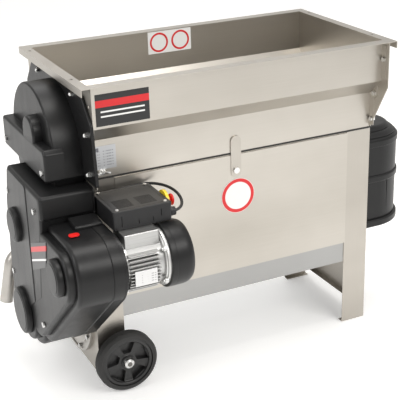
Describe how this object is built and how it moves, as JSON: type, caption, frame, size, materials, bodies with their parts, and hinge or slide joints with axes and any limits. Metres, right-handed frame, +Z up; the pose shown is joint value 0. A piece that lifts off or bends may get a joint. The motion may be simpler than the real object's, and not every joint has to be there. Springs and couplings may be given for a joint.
{
  "type": "grape crusher destemmer",
  "caption": "Electric grape crusher destemmer: steel hopper over lobed rollers, a paddle beater in a perforated drum, must pump, belt drive under moulded covers, stem chute and wheels.",
  "frame": {"origin": "on the floor under the middle of the machine's box", "axes": "+X towards the stem chute, +Y from the motor side to the rear, +Z up"},
  "size_m": [1.2826, 0.725, 0.912],
  "materials": {
    "stainless": "brushed stainless sheet",
    "moulded_black": "satin moulded plastic",
    "cast_aluminium": "cast and machined aluminium",
    "bright_steel": "zinc plated steel",
    "dark_steel": "blackened steel",
    "tyre_rubber": "ribbed rubber",
    "belt_rubber": "rubber",
    "wheel_black": "moulded plastic",
    "signal_red": "gloss plastic",
    "signal_yellow": "gloss plastic"
  },
  "bodies": {
    "machine": {"axle_caps": "wheel_black", "bearing_bridge": "stainless", "cable_glands": "moulded_black", "cap_auger": "moulded_black", "cap_beater": "moulded_black", "cap_motor": "moulded_black", "control_box": "moulded_black", "control_box_lid": "moulded_black", "cover_screws": "bright_steel", "destemming_screen": "stainless", "drive_back_plate": "moulded_black", "drive_belt": "belt_rubber", "drive_chains": "dark_steel", "drive_cover": "moulded_black", "drive_end_frame": "stainless", "feed_chain": "dark_steel", "front_cover": "stainless", "hex_bolts": "bright_steel", "hopper_end_drive": "stainless", "hopper_end_outlet": "stainless", "hopper_floor": "stainless", "hopper_front_panel": "stainless", "hopper_rear_panel": "stainless", "link_cable": "belt_rubber", "motor_end_bell": "cast_aluminium", "motor_fan_cover": "moulded_black", "motor_flange": "moulded_black", "motor_stator": "cast_aluminium", "must_outlet_pipe": "stainless", "must_trough": "stainless", "outlet_end_frame": "stainless", "pump_flange": "stainless", "pump_housing": "stainless", "rear_cover": "stainless", "shaft_bearings": "dark_steel", "stem_chute": "moulded_black", "strap_clamps": "stainless", "switch_base": "signal_yellow", "upper_gear_cover": "moulded_black", "wheel_axle": "bright_steel"},
    "beater": {"beater_shaft": "stainless", "beater_pulley": "cast_aluminium", "beater_sprockets": "dark_steel"},
    "motor_rotor": {"motor_rotor": "dark_steel", "motor_fan": "wheel_black", "motor_pulley": "cast_aluminium"},
    "must_screw": {"must_auger": "stainless", "pump_impeller": "belt_rubber", "auger_sprocket": "dark_steel"},
    "front_roller": {"roller_front": "belt_rubber", "roller_gear_front": "dark_steel"},
    "rear_roller": {"roller_rear": "belt_rubber", "roller_gear_rear": "dark_steel"},
    "hopper_screw": {"feed_auger": "stainless", "feed_sprocket": "dark_steel"},
    "front_wheel": {"wheel_rim_front": "wheel_black", "tyre_front": "tyre_rubber"},
    "rear_wheel": {"wheel_rim_rear": "wheel_black", "tyre_rear": "tyre_rubber"},
    "stop_button": {"stop_button": "signal_red"}
  },
  "joints": [
    {"name": "beater_spin", "type": "hinge", "parent": "machine", "child": "beater", "pos_m": [-0.47175, 0.0825, 0.479], "axis": [1, 0, 0], "continuous": true},
    {"name": "motor_spin", "type": "hinge", "parent": "machine", "child": "motor_rotor", "pos_m": [-0.47175, -0.2695, 0.466], "axis": [1, 0, 0], "continuous": true},
    {"name": "must_screw_spin", "type": "hinge", "parent": "machine", "child": "must_screw", "pos_m": [-0.47175, 0.0825, 0.211], "axis": [1, 0, 0], "continuous": true},
    {"name": "front_roller_spin", "type": "hinge", "parent": "machine", "child": "front_roller", "pos_m": [-0.47175, 0.0465, 0.602], "axis": [1, 0, 0], "continuous": true},
    {"name": "rear_roller_spin", "type": "hinge", "parent": "machine", "child": "rear_roller", "pos_m": [-0.47175, 0.1185, 0.602], "axis": [1, 0, 0], "continuous": true},
    {"name": "hopper_screw_spin", "type": "hinge", "parent": "machine", "child": "hopper_screw", "pos_m": [-0.47175, 0.0825, 0.722], "axis": [1, 0, 0], "continuous": true},
    {"name": "front_wheel_spin", "type": "hinge", "parent": "machine", "child": "front_wheel", "pos_m": [-0.40175, -0.1285, 0.09], "axis": [0, 1, 0], "continuous": true},
    {"name": "rear_wheel_spin", "type": "hinge", "parent": "machine", "child": "rear_wheel", "pos_m": [-0.40175, 0.2935, 0.09], "axis": [0, 1, 0], "continuous": true},
    {"name": "stop_button_press", "type": "slide", "parent": "machine", "child": "stop_button", "axis": [-1, 0, 0], "range_m": [0, 0.006], "stiffness_N_per_m": 600, "springref_m": -0.002}
  ],
  "couplings": [
    {"joint": "motor_spin", "follows": "beater_spin", "ratio": 2.5},
    {"joint": "must_screw_spin", "follows": "beater_spin", "ratio": 0.46429},
    {"joint": "front_roller_spin", "follows": "beater_spin", "ratio": 1},
    {"joint": "rear_roller_spin", "follows": "beater_spin", "ratio": -1},
    {"joint": "hopper_screw_spin", "follows": "beater_spin", "ratio": 0.36667}
  ]
}
